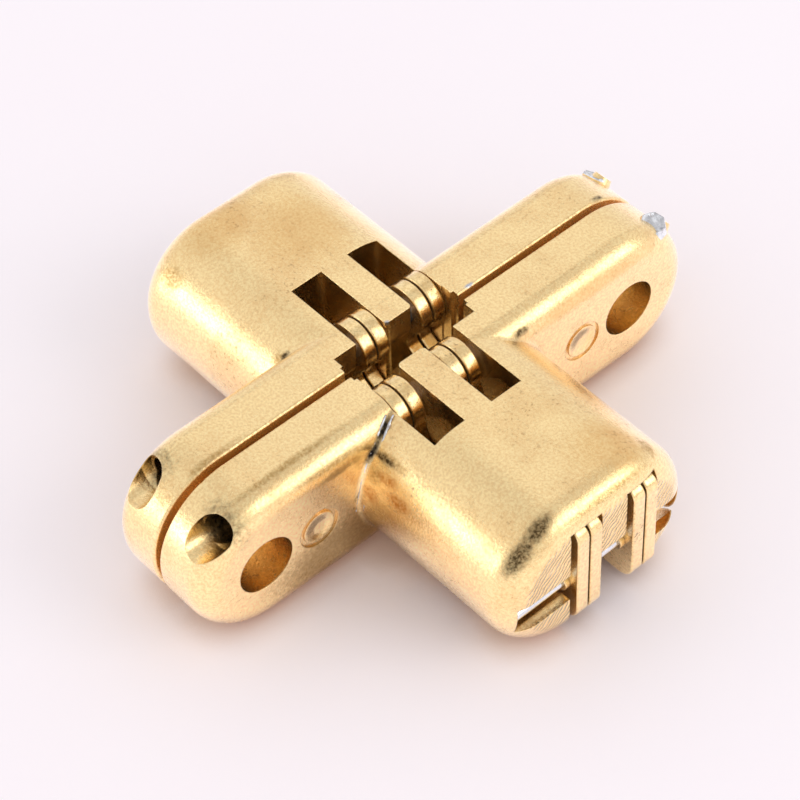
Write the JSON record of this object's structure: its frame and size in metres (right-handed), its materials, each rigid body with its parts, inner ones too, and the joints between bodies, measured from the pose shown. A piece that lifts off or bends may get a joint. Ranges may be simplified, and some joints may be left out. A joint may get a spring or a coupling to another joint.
{
  "type": "concealed cross-link door hinge",
  "caption": "Concealed hinge of two narrow cast leaves with rounded screw ears, joined by crossing flat links that run in tracks inside the leaf housings; shown closed and lying on its side",
  "frame": {"origin": "centre of the footprint of the closed hinge lying on its side, on the surface it lies on", "axes": "X is the depth of the leaves, the left leaf at negative X and the right leaf at positive X; Y runs along the length of the leaves and of all pins; Z is the thickness, up, and the leaves part on this side when the hinge opens"},
  "size_m": [0.0392, 0.045, 0.012],
  "materials": {
    "plated_casting": "satin pale gold plating on a zinc die casting",
    "plated_link": "satin pale gold plating on pressed steel",
    "pin_steel": "bright plain steel"
  },
  "bodies": {
    "leaf_left": {"leaf_left": "plated_casting", "pivot_pin_left": "pin_steel"},
    "links_left": {"link_left_1": "plated_link", "link_left_2": "plated_link", "link_left_3": "plated_link", "link_left_4": "plated_link", "center_pin": "pin_steel", "slide_pin_right": "pin_steel", "spacer_right_1": "pin_steel", "spacer_right_2": "pin_steel"},
    "links_right": {"link_right_1": "plated_link", "link_right_2": "plated_link", "link_right_3": "plated_link", "link_right_4": "plated_link", "slide_pin_left": "pin_steel", "spacer_left_1": "pin_steel", "spacer_left_2": "pin_steel"},
    "leaf_right": {"leaf_right": "plated_casting", "pivot_pin_right": "pin_steel"}
  },
  "joints": [
    {"name": "left_pivot", "type": "hinge", "parent": "leaf_left", "child": "links_left", "pos_m": [-0.0031, 0, 0.01005], "axis": [0, -1, 0], "range_deg": [0, 120]},
    {"name": "center_pivot", "type": "hinge", "parent": "links_left", "child": "links_right", "pos_m": [0, 0, 0.0019], "axis": [0, 1, 0], "range_deg": [0, 60]},
    {"name": "right_pivot", "type": "hinge", "parent": "links_right", "child": "leaf_right", "pos_m": [0.0031, 0, 0.01005], "axis": [0, -1, 0], "range_deg": [0, 120]}
  ],
  "couplings": [
    {"joint": "center_pivot", "follows": "left_pivot", "ratio": 0.5},
    {"joint": "right_pivot", "follows": "left_pivot", "ratio": 1}
  ]
}
